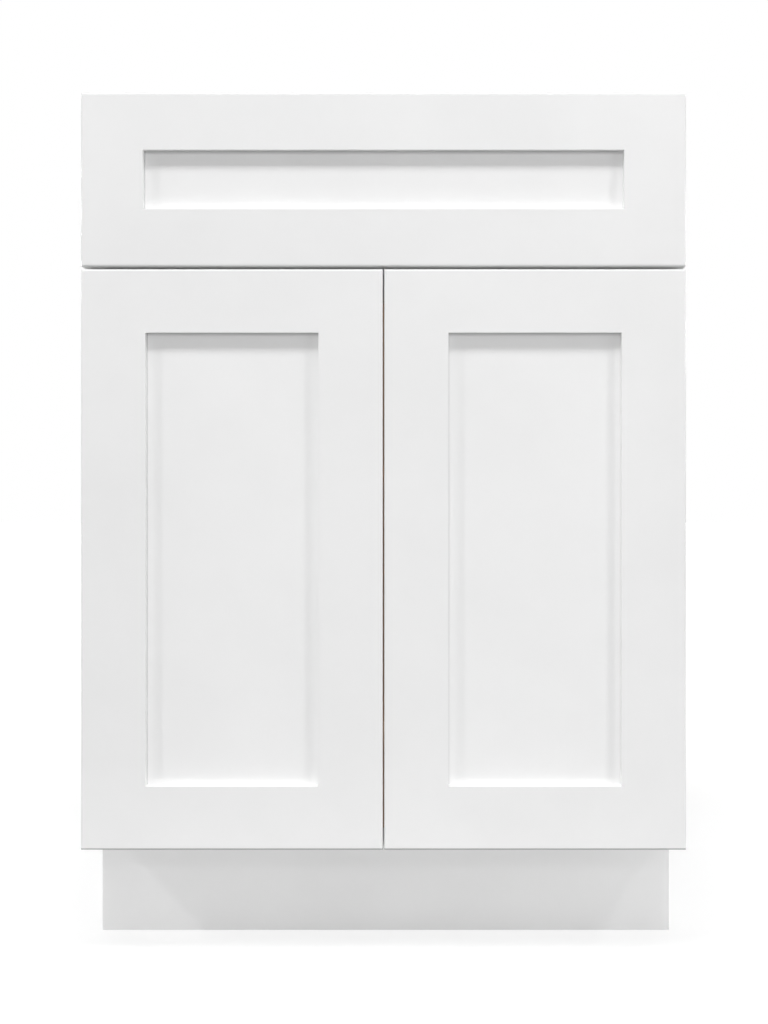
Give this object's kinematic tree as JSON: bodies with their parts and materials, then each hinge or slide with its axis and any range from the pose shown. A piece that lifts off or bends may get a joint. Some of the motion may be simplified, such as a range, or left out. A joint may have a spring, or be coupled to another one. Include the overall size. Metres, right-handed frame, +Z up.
{
  "type": "bathroom vanity cabinet",
  "caption": "White shaker vanity base cabinet with butt doors on concealed hinges under a fixed false drawer front, open top for a sink and a recessed toe kick.",
  "frame": {"origin": "on the floor, under the middle of the cabinet's overall box", "axes": "+X across the front to the right, +Y from the doors to the wall, +Z up"},
  "size_m": [0.6096, 0.5544, 0.8763],
  "materials": {
    "painted_wood": "satin white paint",
    "birch_ply": "clear-coated birch plywood",
    "nickel_steel": "nickel plated",
    "zinc_steel": "zinc plated",
    "clear_plastic": "clear soft plastic"
  },
  "bodies": {
    "carcass": {"left_side_panel": "painted_wood", "right_side_panel": "painted_wood", "bottom_panel": "birch_ply", "back_panel": "birch_ply", "back_top_nailer": "birch_ply", "back_bottom_nailer": "birch_ply", "top_front_rail": "painted_wood", "mid_rail": "painted_wood", "toe_board": "birch_ply", "toe_kick_skin": "painted_wood", "countertop_brackets": "nickel_steel", "countertop_bracket_screws": "zinc_steel", "false_front_left_stile": "painted_wood", "false_front_right_stile": "painted_wood", "false_front_top_rail": "painted_wood", "false_front_bottom_rail": "painted_wood", "false_front_panel": "painted_wood", "false_front_spacers": "clear_plastic", "false_front_screws": "zinc_steel", "left_hinge_arm_pins": "zinc_steel", "left_hinge_arms": "nickel_steel", "left_hinge_arm_screws": "zinc_steel", "left_hinge_plates": "nickel_steel", "left_hinge_plate_screws": "zinc_steel", "right_hinge_arm_pins": "zinc_steel", "right_hinge_arms": "nickel_steel", "right_hinge_arm_screws": "zinc_steel", "right_hinge_plates": "nickel_steel", "right_hinge_plate_screws": "zinc_steel"},
    "left_outer_links": {"left_hinge_outer_links": "nickel_steel"},
    "left_door": {"left_door_hinge_stile": "painted_wood", "left_door_lock_stile": "painted_wood", "left_door_top_rail": "painted_wood", "left_door_bottom_rail": "painted_wood", "left_door_panel": "painted_wood", "left_door_bumpers": "clear_plastic", "left_hinge_cups": "nickel_steel", "left_hinge_cup_screws": "zinc_steel", "left_hinge_cup_pins": "zinc_steel"},
    "left_inner_links": {"left_hinge_inner_links": "nickel_steel"},
    "right_outer_links": {"right_hinge_outer_links": "nickel_steel"},
    "right_door": {"right_door_hinge_stile": "painted_wood", "right_door_lock_stile": "painted_wood", "right_door_top_rail": "painted_wood", "right_door_bottom_rail": "painted_wood", "right_door_panel": "painted_wood", "right_door_bumpers": "clear_plastic", "right_hinge_cups": "nickel_steel", "right_hinge_cup_screws": "zinc_steel", "right_hinge_cup_pins": "zinc_steel"},
    "right_inner_links": {"right_hinge_inner_links": "nickel_steel"}
  },
  "joints": [
    {"name": "left_outer_link_turn", "type": "hinge", "parent": "carcass", "child": "left_outer_links", "pos_m": [-0.2701, -0.2556, 0.4068], "axis": [0, 0, 1], "range_deg": [0, 27.22]},
    {"name": "left_door_swing", "type": "hinge", "parent": "left_outer_links", "child": "left_door", "pos_m": [-0.2924, -0.2632, 0.4068], "axis": [0, 0, -1], "range_deg": [0, 125.2]},
    {"name": "left_inner_link_turn", "type": "hinge", "parent": "left_door", "child": "left_inner_links", "pos_m": [-0.2918, -0.2665, 0.4068], "axis": [0, 0, 1], "range_deg": [0, 119.46]},
    {"name": "right_outer_link_turn", "type": "hinge", "parent": "carcass", "child": "right_outer_links", "pos_m": [0.2701, -0.2556, 0.4068], "axis": [0, 0, -1], "range_deg": [0, 27.22]},
    {"name": "right_door_swing", "type": "hinge", "parent": "right_outer_links", "child": "right_door", "pos_m": [0.2924, -0.2632, 0.4068], "axis": [0, 0, 1], "range_deg": [0, 125.2]},
    {"name": "right_inner_link_turn", "type": "hinge", "parent": "right_door", "child": "right_inner_links", "pos_m": [0.2918, -0.2665, 0.4068], "axis": [0, 0, -1], "range_deg": [0, 119.46]}
  ],
  "couplings": [
    {"joint": "left_outer_link_turn", "follows": "left_door_swing", "ratio": 0.21725},
    {"joint": "left_inner_link_turn", "follows": "left_door_swing", "ratio": 0.95375},
    {"joint": "right_outer_link_turn", "follows": "right_door_swing", "ratio": 0.21725},
    {"joint": "right_inner_link_turn", "follows": "right_door_swing", "ratio": 0.95375}
  ]
}
